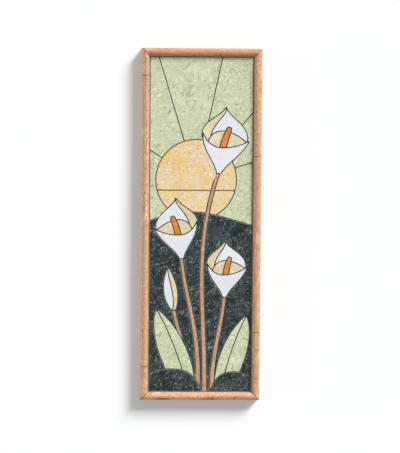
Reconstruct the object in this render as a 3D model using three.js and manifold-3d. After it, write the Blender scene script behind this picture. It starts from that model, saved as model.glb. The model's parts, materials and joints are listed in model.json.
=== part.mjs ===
// A tall cut-stone mosaic wall panel: slabs of coloured stone, sawn to a picture of lilies before a low sun,
// bedded on a board and held by a half-round stone moulding. Millimetres, +Z up. The panel hangs in the XZ
// plane with its face towards -Y. Its origin is the middle of the flat back that goes against the wall.
import * as THREE from "three";
import { mergeVertices } from "three/addons/utils/BufferGeometryUtils.js";
import Module from "manifold-3d";

const wasm = await Module();
wasm.setup();

// Panel and moulding
const PANEL_WIDTH = 312;
const PANEL_HEIGHT = 914;
const RAIL_WIDTH = 21; // the moulding, seen from the front
const ROUND_ABOVE_STONES = 0.5; // from the stones' face out to where the half round starts
const REBATE_WIDTH = 8; // how far the board reaches in behind the moulding
const RAIL_GAP = 0.8; // open joint between two lengths of moulding, at a mitre and at a butt end
const ROUND_STEPS = 7; // facets in each quarter turn of the half round

// Butt joints in the side rails
const LEFT_JOINT_BELOW_TOP = 71;
const LEFT_JOINT_ABOVE_FOOT = 88;
const RIGHT_JOINT_BELOW_TOP = 278;
const RIGHT_JOINT_ABOVE_FOOT = 178;

// Layers, from the wall to the face
const BOARD_THICKNESS = 12;
const BED_THICKNESS = 2.4;
const STONE_THICKNESS = 6;
const GLUE_LINE = 0.3; // between layers, and between them and the moulding
const REVEAL = 2; // dark open line between the stones and the moulding

// Sawing
const SAW_JOINT = 1.7; // open joint between two stones
const SHARPEST_CORNER = 0.55; // cosine of half the turn past which a corner's joint is squared off
const CUT_OVERSHOOT = 1; // how far a cut passes through the slab
const CURVE_STEPS = 10; // straight cuts in each curved stretch
const DISC_STEPS = 28; // straight cuts in half a turn of the sun
const MERGE_DISTANCE = 1e-4; // corners closer than this are one corner

// Sizes that follow from these
const OPENING_WIDTH = PANEL_WIDTH - 2 * RAIL_WIDTH;
const OPENING_HEIGHT = PANEL_HEIGHT - 2 * RAIL_WIDTH;
const FIELD_WIDTH = OPENING_WIDTH - 2 * REVEAL;
const FIELD_HEIGHT = OPENING_HEIGHT - 2 * REVEAL;
const BED_BACK = BOARD_THICKNESS + GLUE_LINE;
const STONE_BACK = BED_BACK + BED_THICKNESS + GLUE_LINE;
const RAIL_SIDE = STONE_BACK + STONE_THICKNESS + ROUND_ABOVE_STONES;

// The picture is drawn one unit wide, its origin in the middle of its foot, and stretched to the field.
const DRAWING_HEIGHT = 3.263;

// A place in the picture: across from -1 (left edge) to 1 (right edge), up from 0 (foot) to 1 (head).
const at = (across, up) => new THREE.Vector2(across / 2, up * DRAWING_HEIGHT);

// The picture's figures, their sizes in widths of the picture
const SUN = { centre: at(-0.1, 0.635), radius: 0.39, splitUp: 0.605 };
const RAY_ANGLES = [18, 50, 78, 107, 147]; // degrees, about the sun's centre
const HIGH_LILY = { name: "high_lily", foot: at(0.34, 0.655), height: 0.64, lean: -9, mirrored: true };
const LEFT_LILY = { name: "left_lily", foot: at(-0.37, 0.4), height: 0.585, lean: 9 };
const LOW_LILY = { name: "low_lily", foot: at(0.47, 0.285), height: 0.545, lean: -3, mirrored: true };
const BUD = { name: "bud", foot: at(-0.52, 0.245), height: 0.42, lean: 10 };
const STEM_FOOT_WIDTH = 0.042;
const STEM_NECK_WIDTH = 0.028;
const STEM_OVERLAP = 0.06; // how far a stem runs up behind what it carries, as a share of its height
const STEMS = [
  {
    name: "high_lily_stem",
    foot: at(0.09, 0),
    bends: [at(0.1, 0.25), at(-0.18, 0.43)],
    carries: HIGH_LILY,
  },
  {
    name: "left_lily_stem",
    foot: at(-0.04, 0),
    bends: [at(0, 0.2), at(-0.3, 0.27)],
    carries: LEFT_LILY,
  },
  {
    name: "low_lily_stem",
    foot: at(0.24, 0),
    bends: [at(0.22, 0.12), at(0.42, 0.18)],
    carries: LOW_LILY,
  },
  { name: "bud_stem", foot: at(-0.16, 0), bends: [at(-0.2, 0.1), at(-0.42, 0.16)], carries: BUD },
];
const LEAVES = [
  { name: "left_leaf", foot: at(-0.26, 0), height: 0.86, lean: 20 },
  { name: "right_leaf", foot: at(0.44, 0), height: 0.78, lean: -17, mirrored: true },
];
const BEYOND = 1.2; // the ground is drawn across to here, past the picture's edges
const BELOW = -0.2; // and down to here, past its foot
const MOUNDS = [
  { name: "right_mound", skyline: [at(0, -0.1), at(0.3, 0.03), at(0.7, 0.058), at(BEYOND, 0.03)] },
  { name: "left_mound", skyline: [at(-BEYOND, 0.04), at(-0.6, 0.066), at(-0.1, 0.038), at(0.3, -0.1)] },
];
const HILLS = [
  { name: "near_hill", skyline: [at(-BEYOND, 0.205), at(-0.5, 0.228), at(0.2, 0.3), at(BEYOND, 0.41)] },
  { name: "far_hill", skyline: [at(-BEYOND, 0.5), at(-0.6, 0.53), at(0.1, 0.535), at(BEYOND, 0.49)] },
];

// Stone and board
const finish = (color, roughness) => new THREE.MeshStandardMaterial({ color, roughness, metalness: 0 });
const MOULDING = finish(0xd9a883, 0.5);
const BOARD = finish(0xb99a6c, 0.8);
const BEDDING = finish(0x2e2722, 0.95);
const PALE_GREEN = finish(0xd0d5b2, 0.45);
const DEEP_GREEN = finish(0x3d4b4a, 0.35);
const OCHRE = finish(0xecca90, 0.45);
const WHITE = finish(0xe6e5ea, 0.3);
const CREAM = finish(0xe3cfae, 0.4);
const TAN = finish(0xc89a78, 0.45);
const ORANGE = finish(0xd5853f, 0.4);

const root = new THREE.Group();

function addMesh(parent, name, geometry, material) {
  const mesh = new THREE.Mesh(geometry, material);
  mesh.name = name;
  parent.add(mesh);
  return mesh;
}

// Board and bedding

function addLayer(name, width, height, back, thickness, material) {
  const layer = addMesh(root, name, new THREE.BoxGeometry(width, thickness, height), material);
  layer.position.y = -(back + thickness / 2);
}

// Moulding

// The section: across is in from the moulding's outer edge, up is out from the wall.
function mouldingSection() {
  const radius = RAIL_WIDTH / 2;
  const rebate = BOARD_THICKNESS + GLUE_LINE;
  const section = new THREE.Shape().moveTo(0, 0).lineTo(0, RAIL_SIDE);
  section.absarc(radius, RAIL_SIDE, radius, Math.PI, 0, true);
  section.lineTo(RAIL_WIDTH, rebate).lineTo(RAIL_WIDTH - REBATE_WIDTH, rebate);
  return section.lineTo(RAIL_WIDTH - REBATE_WIDTH, 0);
}

// One length of moulding along X, with its outer edge on z = 0 and its inner edge above. A mitred end falls
// back as far as the moulding goes in, so that two of them meet at a corner.
function mouldingLength(start, end) {
  const geometry = new THREE.ExtrudeGeometry(mouldingSection(), {
    depth: 1,
    bevelEnabled: false,
    curveSegments: ROUND_STEPS,
  });
  const position = geometry.getAttribute("position");
  for (let i = 0; i < position.count; i++) {
    const inwards = position.getX(i);
    const out = position.getY(i);
    const atStart = position.getZ(i) < 0.5;
    const stop = atStart ? start : end;
    const back = stop.mitred ? inwards + RAIL_GAP / Math.SQRT2 : RAIL_GAP / 2;
    position.setXYZ(i, stop.x + (atStart ? back : -back), -out, inwards);
  }
  return geometry;
}

// A rail of one or more lengths, turned about Y to its side of the panel. The joints are places along it.
function addRail({ names, length, toCentre, turn, joints = [] }) {
  const rail = new THREE.Group();
  rail.rotation.y = turn;
  root.add(rail);
  const stops = [
    { x: -length / 2, mitred: true },
    ...joints.map((x) => ({ x, mitred: false })),
    { x: length / 2, mitred: true },
  ];
  names.forEach((name, i) => {
    addMesh(rail, name, mouldingLength(stops[i], stops[i + 1]), MOULDING).position.z = -toCentre;
  });
}

// Outlines

// An outline drawn with a start, then curves of three points and lines of one.
function drawn(start, ...stretches) {
  const path = new THREE.Path().moveTo(...start);
  for (const [a, b, c] of stretches) {
    if (c) path.bezierCurveTo(...a, ...b, ...c);
    else path.lineTo(...a);
  }
  const points = path.getPoints(CURVE_STEPS);
  return points[0].equals(points.at(-1)) ? points.slice(1) : points;
}

// An outline in shares of a figure's height, mirrored, brought to size, leaned and set on the figure's foot.
function placed(points, { foot, height, lean, mirrored = false }) {
  const centre = new THREE.Vector2();
  const turn = THREE.MathUtils.degToRad(lean);
  return points.map((point) => {
    const flipped = new THREE.Vector2(mirrored ? -point.x : point.x, point.y);
    return flipped.multiplyScalar(height).rotateAround(centre, turn).add(foot);
  });
}

// An outline of the picture in millimetres, on the field.
function stretched(points) {
  return points.map(
    ({ x, y }) => new THREE.Vector2(x * FIELD_WIDTH, (y / DRAWING_HEIGHT - 0.5) * FIELD_HEIGHT),
  );
}

function anticlockwise(points) {
  return THREE.ShapeUtils.area(points) > 0 ? points : [...points].reverse();
}

// The outline with every side moved out by margin, and its sharpest corners squared off.
function grown(points, margin) {
  const ring = anticlockwise(points);
  return ring.flatMap((point, i) => {
    const before = point.clone().sub(ring.at(i - 1)).normalize();
    const after = ring[(i + 1) % ring.length].clone().sub(point).normalize();
    const outBefore = new THREE.Vector2(before.y, -before.x);
    const outAfter = new THREE.Vector2(after.y, -after.x);
    const middle = outBefore.clone().add(outAfter);
    const halfTurn = middle.length() / 2;
    if (halfTurn > SHARPEST_CORNER || before.cross(after) < 0) {
      const reach = margin / Math.max(halfTurn, SHARPEST_CORNER);
      return [point.clone().addScaledVector(middle.normalize(), reach)];
    }
    return [
      point.clone().addScaledVector(outBefore, margin).addScaledVector(before, margin),
      point.clone().addScaledVector(outAfter, margin).addScaledVector(after, -margin),
    ];
  });
}

// The stones of each figure, front to back

function lilyStones(lily) {
  const leftTip = [-0.37, 0.545];
  const top = [0.05, 1];
  const wrap = drawn(
    [0.028, 0],
    [[0.09, 0.18], [0.3, 0.3], [0.335, 0.56]],
    [[0.26, 0.42], [0.12, 0.37], [0.02, 0.385]],
    [[-0.12, 0.405], [-0.26, 0.46], leftTip],
    [[-0.29, 0.31], [-0.09, 0.18], [-0.028, 0]],
  );
  const spadix = drawn(
    [0.045, 0.32],
    [[0.05, 0.46], [0.025, 0.58], [-0.01, 0.68]],
    [[-0.03, 0.74], [-0.09, 0.72], [-0.078, 0.66]],
    [[-0.065, 0.56], [-0.04, 0.46], [-0.05, 0.32]],
  );
  const throat = drawn(
    [-0.35, 0.52],
    [[-0.1, 0.3], [0.12, 0.28], [0.235, 0.4]],
    [[0.25, 0.62], [0.02, 0.76], [-0.35, 0.52]],
  );
  const rolledRim = drawn(
    [0.33, 0.5],
    [[0.42, 0.74], [0.13, 0.82], top],
    [[0.02, 0.86], [0.28, 0.72], [0.21, 0.38]],
  );
  const petal = drawn(
    [0.3, 0.45],
    [[0.33, 0.72], [0.09, 0.82], top],
    [[-0.03, 0.84], [-0.36, 0.8], [-0.345, 0.53]],
    [[0, 0.3]],
  );
  return [
    { part: "wrap", stone: WHITE, outline: wrap },
    { part: "spadix", stone: ORANGE, outline: spadix },
    { part: "throat", stone: CREAM, outline: throat },
    { part: "rolled_rim", stone: CREAM, outline: rolledRim },
    { part: "petal", stone: WHITE, outline: petal },
  ].map(({ part, stone, outline }) => ({
    name: `${lily.name}_${part}`,
    stone,
    points: placed(outline, lily),
  }));
}

function budStones(bud) {
  const fold = drawn(
    [0.04, 0],
    [[0.19, 0.25], [0.19, 0.62], [0.04, 1]],
    [[-0.02, 0.74], [0.12, 0.34], [-0.02, 0]],
  );
  const petal = drawn(
    [0.04, 0],
    [[0.16, 0.25], [0.16, 0.62], [0.04, 1]],
    [[-0.2, 0.66], [-0.2, 0.25], [-0.04, 0]],
  );
  return [
    { name: `${bud.name}_fold`, stone: CREAM, points: placed(fold, bud) },
    { name: `${bud.name}_petal`, stone: WHITE, points: placed(petal, bud) },
  ];
}

function leafStones(leaf) {
  const tip = [0, 1];
  const innerHalf = drawn(
    [0.02, 0],
    [[0.06, 0.35], [0.05, 0.7], tip],
    [[0.12, 0.82], [0.24, 0.4], [0.1, 0]],
  );
  const outerHalf = drawn(
    [0.06, 0],
    [[0.12, 0.35], [0.1, 0.7], tip],
    [[-0.16, 0.84], [-0.2, 0.36], [-0.06, 0]],
  );
  return [
    { name: `${leaf.name}_inner_half`, stone: PALE_GREEN, points: placed(innerHalf, leaf) },
    { name: `${leaf.name}_outer_half`, stone: PALE_GREEN, points: placed(outerHalf, leaf) },
  ];
}

// A ribbon that narrows along a curve, from its foot to just inside the figure that it carries.
function stemStone({ name, foot, bends, carries }) {
  const neck = placed([new THREE.Vector2(0, STEM_OVERLAP)], carries)[0];
  const line = new THREE.CubicBezierCurve(foot, ...bends, neck);
  const steps = 2 * CURVE_STEPS;
  const edge = (side) =>
    Array.from({ length: steps + 1 }, (_, i) => {
      const along = line.getTangent(i / steps);
      const half = THREE.MathUtils.lerp(STEM_FOOT_WIDTH, STEM_NECK_WIDTH, i / steps) / 2;
      return line.getPoint(i / steps).addScaledVector(new THREE.Vector2(along.y, -along.x), side * half);
    });
  return { name, stone: TAN, points: [...edge(1), ...edge(-1).reverse()] };
}

// Ground under a smooth skyline, filled down past the foot of the picture.
function groundStone({ name, skyline }) {
  const below = at(0, BELOW).y;
  const points = new THREE.SplineCurve(skyline).getPoints(2 * CURVE_STEPS);
  points.push(new THREE.Vector2(skyline.at(-1).x, below));
  points.push(new THREE.Vector2(skyline[0].x, below));
  return { name, stone: DEEP_GREEN, points };
}

// The sun's upper stone, down to a level joint, and behind it the whole disc, which leaves the lower stone.
function sunStones({ centre, radius, splitUp }) {
  const splitAngle = Math.asin((at(0, splitUp).y - centre.y) / radius);
  const upper = new THREE.Path().absarc(centre.x, centre.y, radius, splitAngle, Math.PI - splitAngle);
  const disc = new THREE.Path().absarc(centre.x, centre.y, radius, 0, 2 * Math.PI);
  return [
    { name: "upper_sun", stone: OCHRE, points: upper.getPoints(DISC_STEPS) },
    { name: "lower_sun", stone: OCHRE, points: disc.getPoints(DISC_STEPS).slice(0, -1) },
  ];
}

// Sky between each two rays from the sun's centre, out past the edges of the picture.
function skyStones() {
  const reach = 2 * DRAWING_HEIGHT;
  const onRay = (degrees) => {
    const angle = THREE.MathUtils.degToRad(degrees);
    const along = new THREE.Vector2(Math.cos(angle), Math.sin(angle));
    return SUN.centre.clone().addScaledVector(along, reach);
  };
  return RAY_ANGLES.map((from, i) => {
    const to = RAY_ANGLES[i + 1] ?? RAY_ANGLES[0] + 360;
    const points = [SUN.centre, onRay(from), onRay((from + to) / 2), onRay(to)];
    return { name: "sky", stone: PALE_GREEN, points };
  });
}

// Sawing

// A slab of an outline, its back on z = 0 and its face above, in the picture's own XY plane.
function slab(points, overshoot = 0) {
  const shape = new THREE.Shape(anticlockwise(points));
  const depth = STONE_THICKNESS + 2 * overshoot;
  const geometry = new THREE.ExtrudeGeometry(shape, { depth, bevelEnabled: false });
  geometry.translate(0, 0, -overshoot);
  geometry.deleteAttribute("normal");
  geometry.deleteAttribute("uv");
  const merged = mergeVertices(geometry, MERGE_DISTANCE);
  const vertProperties = merged.getAttribute("position").array;
  const triVerts = new Uint32Array(merged.index.array);
  return new wasm.Manifold(new wasm.Mesh({ numProp: 3, vertProperties, triVerts }));
}

function geometryOf(solid) {
  const { vertProperties, triVerts } = solid.getMesh();
  const geometry = new THREE.BufferGeometry();
  geometry.setAttribute("position", new THREE.BufferAttribute(vertProperties, 3));
  geometry.setIndex(new THREE.BufferAttribute(triVerts, 1));
  return geometry;
}

// Saws every stone of the picture, front to back: each loses what lies in front of it, with a joint all
// round, and falls into as many stones as that leaves.
function sawnStones(drawings) {
  const field = slab(stretched([at(-1, 0), at(1, 0), at(1, 1), at(-1, 1)]));
  const inFront = [];
  return drawings.flatMap(({ name, stone, points }) => {
    const outline = stretched(points);
    const whole = slab(outline).intersect(field);
    const bodies = inFront.reduce((rest, figure) => rest.subtract(figure), whole).decompose();
    inFront.push(slab(grown(outline, SAW_JOINT), CUT_OVERSHOOT));
    return bodies.map((body) => ({ name, stone, body }));
  });
}

function addPicture() {
  const picture = new THREE.Group();
  picture.rotation.x = Math.PI / 2;
  picture.position.y = -STONE_BACK;
  root.add(picture);
  const stones = sawnStones([
    ...[HIGH_LILY, LEFT_LILY, LOW_LILY].flatMap(lilyStones),
    ...budStones(BUD),
    ...MOUNDS.map(groundStone),
    ...LEAVES.flatMap(leafStones),
    ...STEMS.map(stemStone),
    ...HILLS.map(groundStone),
    ...sunStones(SUN),
    ...skyStones(),
  ]);
  const leftEdge = ({ body }) => body.boundingBox().min[0];
  for (const [name, alike] of Map.groupBy(stones, (stone) => stone.name)) {
    alike.sort((a, b) => leftEdge(a) - leftEdge(b));
    alike.forEach(({ body, stone }, i) => {
      addMesh(picture, alike.length > 1 ? `${name}_${i + 1}` : name, geometryOf(body), stone);
    });
  }
}

// The panel

const BOARD_MARGIN = REBATE_WIDTH - GLUE_LINE;
addLayer(
  "backing_board",
  OPENING_WIDTH + 2 * BOARD_MARGIN,
  OPENING_HEIGHT + 2 * BOARD_MARGIN,
  0,
  BOARD_THICKNESS,
  BOARD,
);
addLayer(
  "setting_bed",
  OPENING_WIDTH - 2 * GLUE_LINE,
  OPENING_HEIGHT - 2 * GLUE_LINE,
  BED_BACK,
  BED_THICKNESS,
  BEDDING,
);
addRail({ names: ["frame_foot"], length: PANEL_WIDTH, toCentre: PANEL_HEIGHT / 2, turn: 0 });
addRail({ names: ["frame_head"], length: PANEL_WIDTH, toCentre: PANEL_HEIGHT / 2, turn: Math.PI });
addRail({
  names: ["frame_left_upper", "frame_left_middle", "frame_left_lower"],
  length: PANEL_HEIGHT,
  toCentre: PANEL_WIDTH / 2,
  turn: Math.PI / 2,
  joints: [LEFT_JOINT_BELOW_TOP - PANEL_HEIGHT / 2, PANEL_HEIGHT / 2 - LEFT_JOINT_ABOVE_FOOT],
});
addRail({
  names: ["frame_right_lower", "frame_right_middle", "frame_right_upper"],
  length: PANEL_HEIGHT,
  toCentre: PANEL_WIDTH / 2,
  turn: -Math.PI / 2,
  joints: [RIGHT_JOINT_ABOVE_FOOT - PANEL_HEIGHT / 2, PANEL_HEIGHT / 2 - RIGHT_JOINT_BELOW_TOP],
});
addPicture();

export default root;
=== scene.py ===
"""A tall cut-stone mosaic wall panel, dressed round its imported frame.

Slabs of coloured stone, sawn to a picture of lilies before a low sun, are grouted on a board and held by a
half-round stone moulding. Metres, +Z up. The panel hangs in the XZ plane with its face towards -Y, and the
flat back that goes against the wall is the plane y = 0.
"""
import json
import logging
import math
import random
from dataclasses import dataclass, field
from enum import Enum
from typing import Union

import bmesh
import bpy
from mathutils import Matrix, Vector, noise


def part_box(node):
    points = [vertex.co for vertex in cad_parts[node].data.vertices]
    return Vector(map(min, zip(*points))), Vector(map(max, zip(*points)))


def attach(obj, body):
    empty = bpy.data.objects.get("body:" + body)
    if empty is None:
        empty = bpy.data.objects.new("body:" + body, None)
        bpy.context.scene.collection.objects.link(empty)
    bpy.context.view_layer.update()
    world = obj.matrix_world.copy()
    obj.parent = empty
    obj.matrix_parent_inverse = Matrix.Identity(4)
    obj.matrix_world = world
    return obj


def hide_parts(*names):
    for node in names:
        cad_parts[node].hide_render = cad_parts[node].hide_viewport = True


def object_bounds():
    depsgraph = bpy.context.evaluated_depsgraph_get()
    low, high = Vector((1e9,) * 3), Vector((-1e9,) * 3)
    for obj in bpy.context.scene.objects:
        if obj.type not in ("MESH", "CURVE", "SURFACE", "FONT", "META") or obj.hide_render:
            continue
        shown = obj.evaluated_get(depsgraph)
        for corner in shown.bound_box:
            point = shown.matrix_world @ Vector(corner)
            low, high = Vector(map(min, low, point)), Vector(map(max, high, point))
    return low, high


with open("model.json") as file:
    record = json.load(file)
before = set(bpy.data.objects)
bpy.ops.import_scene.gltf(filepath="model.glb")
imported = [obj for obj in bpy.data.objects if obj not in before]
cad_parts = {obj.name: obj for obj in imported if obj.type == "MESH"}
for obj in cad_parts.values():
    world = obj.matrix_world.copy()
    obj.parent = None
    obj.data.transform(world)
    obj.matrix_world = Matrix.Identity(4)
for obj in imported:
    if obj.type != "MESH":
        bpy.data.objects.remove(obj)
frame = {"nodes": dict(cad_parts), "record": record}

CAD_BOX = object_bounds()
ROOT = "root"
FACING = Vector((0, -1, 0))

MM_PER_M = 1000

# The sockets of a Mix node that hold colours
MIX_A = 6
MIX_B = 7
MIX_RESULT = 2

Colour = tuple[float, float, float, float]
SocketName = Union[str, int]
log = logging.getLogger("panel")


def srgb(red: int, green: int, blue: int) -> Colour:
    """A screen colour, each part from 0 to 255, as the linear colour with alpha that shaders use."""
    shares = [level / 255 for level in (red, green, blue)]
    return (*(s / 12.92 if s <= 0.04045 else ((s + 0.055) / 1.055) ** 2.4 for s in shares), 1.0)


class Slot(Enum):
    """The record's material slots."""

    MOULDING = "moulding_stone"
    BOARD = "board"
    BEDDING = "bedding"
    PALE_GREEN = "pale_green_stone"
    DEEP_GREEN = "deep_green_stone"
    OCHRE = "ochre_stone"
    WHITE = "white_stone"
    CREAM = "cream_stone"
    TAN = "tan_stone"
    ORANGE = "orange_stone"


SLOT_OF = {row["node"]: Slot(row["material_slot"]) for row in frame["record"]["subparts"]}


# Shader building


@dataclass(frozen=True, eq=False)
class Value:
    """An output of a node, by name or number. Arithmetic on it adds the Math nodes that work it out."""

    shader: "Shader"
    node: bpy.types.Node
    output: SocketName = 0

    @property
    def socket(self) -> bpy.types.NodeSocket:
        """The socket itself."""
        return self.node.outputs[self.output]

    def other(self, output: SocketName) -> "Value":
        """Another output of the same node."""
        return Value(self.shader, self.node, output)

    def math(self, operation: str, first: "Number", second: "Number") -> "Value":
        """The result of one Math node on two numbers or sockets."""
        return self.shader.node("ShaderNodeMath", {"operation": operation}, {0: first, 1: second})

    def __add__(self, other: "Number") -> "Value":
        """self + other."""
        return self.math("ADD", self, other)

    def __radd__(self, other: "Number") -> "Value":
        """other + self."""
        return self.math("ADD", other, self)

    def __sub__(self, other: "Number") -> "Value":
        """self - other."""
        return self.math("SUBTRACT", self, other)

    def __rsub__(self, other: "Number") -> "Value":
        """other - self."""
        return self.math("SUBTRACT", other, self)

    def __mul__(self, other: "Number") -> "Value":
        """self * other."""
        return self.math("MULTIPLY", self, other)

    def __rmul__(self, other: "Number") -> "Value":
        """other * self."""
        return self.math("MULTIPLY", other, self)

    def __abs__(self) -> "Value":
        """The number without its sign."""
        return self.math("ABSOLUTE", self, 0.0)

    def ramp(self, start: float, end: float) -> "Value":
        """0 at start, 1 at end and beyond it, smooth between them; start may be the higher."""
        return self._smooth(start, end) if start < end else 1.0 - self._smooth(end, start)

    def _smooth(self, low: float, high: float) -> "Value":
        """A smooth step from low to high."""
        sockets = {"Value": self, "From Min": low, "From Max": high}
        return self.shader.node("ShaderNodeMapRange", {"interpolation_type": "SMOOTHSTEP"}, sockets)


Number = Union[Value, float]


class Shader:
    """A material's node tree while it is being built."""

    def __init__(self, name: str) -> None:
        """Starts an empty material.

        Args:
            name: The material's name.
        """
        self.material = bpy.data.materials.new(name)
        self.material.use_nodes = True
        self.tree = self.material.node_tree
        self.tree.nodes.clear()

    def node(
        self,
        kind: str,
        settings: dict[str, object] | None = None,
        sockets: dict[SocketName, object] | None = None,
        output: SocketName = 0,
    ) -> Value:
        """Adds a node.

        Args:
            kind: The node's type.
            settings: Its properties, set first.
            sockets: Its inputs by name or number, each a value or a socket to link.
            output: The output that is wanted, by name or number.

        Returns:
            That output.
        """
        made = self.tree.nodes.new(kind)
        for name, value in (settings or {}).items():
            setattr(made, name, value)
        for name, value in (sockets or {}).items():
            if isinstance(value, Value):
                self.tree.links.new(value.socket, made.inputs[name])
            else:
                made.inputs[name].default_value = value
        return Value(self, made, output)

    def place(self) -> Value:
        """The place on the piece, in metres."""
        return self.node("ShaderNodeTexCoord", output="Object")

    def vector(self, operation: str, sockets: dict[SocketName, object], output: SocketName = 0) -> Value:
        """The result of one Vector Math node."""
        return self.node("ShaderNodeVectorMath", {"operation": operation}, sockets, output)

    def mix(self, share: Number, first: object, second: object) -> Value:
        """A colour that goes from the first to the second as the share goes from 0 to 1."""
        settings = {"data_type": "RGBA", "clamp_factor": True}
        return self.node("ShaderNodeMix", settings, {0: share, MIX_A: first, MIX_B: second}, MIX_RESULT)

    def multiplied(self, first: Value, second: object) -> Value:
        """One colour times another."""
        settings = {"data_type": "RGBA", "blend_type": "MULTIPLY"}
        return self.node("ShaderNodeMix", settings, {0: 1.0, MIX_A: first, MIX_B: second}, MIX_RESULT)

    def scaled(self, vector: Value, by: tuple[float, float, float]) -> Value:
        """A vector with each axis multiplied by its own number."""
        return self.vector("MULTIPLY", {0: vector, 1: by})

    def noise(self, at: Value, size: float, detail: float = 2.0, wander: float = 0.0) -> Value:
        """Soft noise about 0.5: clouds of a size in metres, with finer octaves, drawn out into whorls."""
        sockets = {"Vector": at, "Scale": 1 / size, "Detail": detail, "Distortion": wander}
        return self.node("ShaderNodeTexNoise", {}, sockets)

    def sway(self, at: Value, size: float, detail: float = 2.0, wander: float = 0.0) -> Value:
        """The same noise about 0."""
        return self.noise(at, size, detail, wander) - 0.5

    def facing(self, direction: Vector) -> Value:
        """The cosine between the surface and a direction."""
        normal = self.node("ShaderNodeNewGeometry", output="Normal")
        return self.vector("DOT_PRODUCT", {0: normal, 1: tuple(direction)}, "Value")

    def end(self, surface: Value) -> None:
        """Ends the shader in a surface."""
        self.node("ShaderNodeOutputMaterial", {}, {"Surface": surface})

    def finish(self, colour: Value, roughness: Value, relief: Value, gloss: float) -> None:
        """Ends the shader in a Principled surface.

        Args:
            colour: The base colour.
            roughness: The roughness.
            relief: The height of the surface in metres.
            gloss: The specular level, the same all over.
        """
        normal = self.node("ShaderNodeBump", {}, {"Strength": 1.0, "Distance": 1.0, "Height": relief})
        sockets = {
            "Base Color": colour,
            "Roughness": roughness,
            "Normal": normal,
            "Specular IOR Level": gloss,
        }
        self.end(self.node("ShaderNodeBsdfPrincipled", {}, sockets))


# What a stone is made of. Sizes are metres, and levels are places in soft noise about 0.5.


@dataclass(frozen=True)
class Mark:
    """A chip, crack or stain at one place of a piece.

    Attributes:
        middle: Its middle.
        reach: How far it reaches each way from its middle.
        turn: How far it is turned about Y.
        colour: Its colour.
        strength: How much of the colour shows.
        depth: How deep it is.
        ragged: How ragged its edge is, as a share of its reach.
        ragged_size: The size of that raggedness.
        core: The share of its reach that shows in full.
        shaded: The share of its depth that shading adds to what is cut.
    """

    middle: Vector
    reach: Vector
    turn: float
    colour: Colour
    strength: float
    depth: float = 0.0
    ragged: float = 0.9
    ragged_size: float = 0.003
    core: float = 0.6
    shaded: float = 0.5

    def mask(self, shader: Shader, place: Value) -> Value:
        """Where the mark is, with ragged edges.

        Args:
            shader: The shader being built.
            place: The place on the piece, in metres.

        Returns:
            A share from 0 to 1.
        """
        sockets = {
            "Vector": place,
            "Location": self.middle,
            "Rotation": (0, self.turn, 0),
            "Scale": self.reach,
        }
        inside = shader.node("ShaderNodeMapping", {"vector_type": "TEXTURE"}, sockets)
        away = shader.vector("LENGTH", {0: inside}, "Value")
        return (away + shader.sway(place, self.ragged_size, detail=3.0) * self.ragged).ramp(1.0, self.core)

    def hollow(self, place: Vector) -> float:
        """How deep the mark is cut at a place.

        Args:
            place: The place on the piece.

        Returns:
            The depth.
        """
        away = Matrix.Rotation(-self.turn, 3, "Y") @ (place - self.middle)
        share = Vector(away[axis] / self.reach[axis] for axis in range(3)).length_squared
        return max(0.0, 1.0 - share) * self.depth


@dataclass(frozen=True)
class Lay:
    """How one piece was cut from its block and how it has worn.

    Attributes:
        shift: Where in the block it was cut.
        turn: How far it was turned about Y.
        light: How light it came out.
        tint: The colour that it leans to; on the moulding it also holds painted light and shade that differ
            from side to side.
        ends: The direction that its end joints face.
        marks: Its chips, cracks and stains.
    """

    shift: Vector = Vector((0, 0, 0))
    turn: float = 0.0
    light: float = 1.0
    tint: Colour = (1.0, 1.0, 1.0, 1.0)
    ends: Vector = Vector((0, 0, 1))
    marks: tuple[Mark, ...] = ()

    def at(self, shader: Shader, place: Value) -> Value:
        """Where in the block a place on the piece was."""
        sockets = {"Vector": place, "Location": self.shift, "Rotation": (0, self.turn, 0)}
        return shader.node("ShaderNodeMapping", {}, sockets)


@dataclass(frozen=True)
class Patch:
    """Patches of another colour.

    Attributes:
        colour: Their colour.
        size: About how wide they are.
        level: The noise above which they begin: 0.5 covers half, 0.65 is sparse.
        strength: How much of the colour shows at their middle.
        soft: How gradually they begin.
        detail: How broken up they are.
        wander: How far they are drawn out into whorls.
        squeeze: How much narrower they are across the bedding than along it.
    """

    colour: Colour
    size: float
    level: float
    strength: float
    soft: float = 0.08
    detail: float = 2.0
    wander: float = 0.0
    squeeze: float = 1.0

    def mask(self, shader: Shader, at: Value) -> Value:
        """Where the patches are.

        Args:
            shader: The shader being built.
            at: Where, in metres, with the bedding along Z.

        Returns:
            A share from 0 to the patches' strength.
        """
        place = shader.scaled(at, (self.squeeze, self.squeeze, 1.0)) if self.squeeze != 1.0 else at
        cloud = shader.noise(place, self.size, self.detail, self.wander)
        return cloud.ramp(self.level, self.level + self.soft) * self.strength


@dataclass(frozen=True)
class Veins:
    """Thin wandering lines of another colour.

    Attributes:
        colour: Their colour.
        size: About how far apart they run.
        width: How wide they are, in noise units.
        strength: How much of the colour shows along their middle.
        where: The noise level above which the stone has veins at all.
        where_size: The size of the veined regions.
        wander: How crooked they are.
        detail: How many finer octaves their course has.
        where_soft: How gradually the veined regions begin.
    """

    colour: Colour
    size: float
    width: float
    strength: float
    where: float = 0.5
    where_size: float = 0.05
    wander: float = 1.0
    detail: float = 3.0
    where_soft: float = 0.1

    def mask(self, shader: Shader, at: Value) -> Value:
        """Where the veins are.

        Args:
            shader: The shader being built.
            at: Where, in metres.

        Returns:
            A share from 0 to the veins' strength.
        """
        line = abs(shader.sway(at, self.size, self.detail, self.wander))
        region = shader.noise(at, self.where_size, detail=1.0).ramp(self.where, self.where + self.where_soft)
        return line.ramp(self.width, 0.0) * region * self.strength


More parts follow.
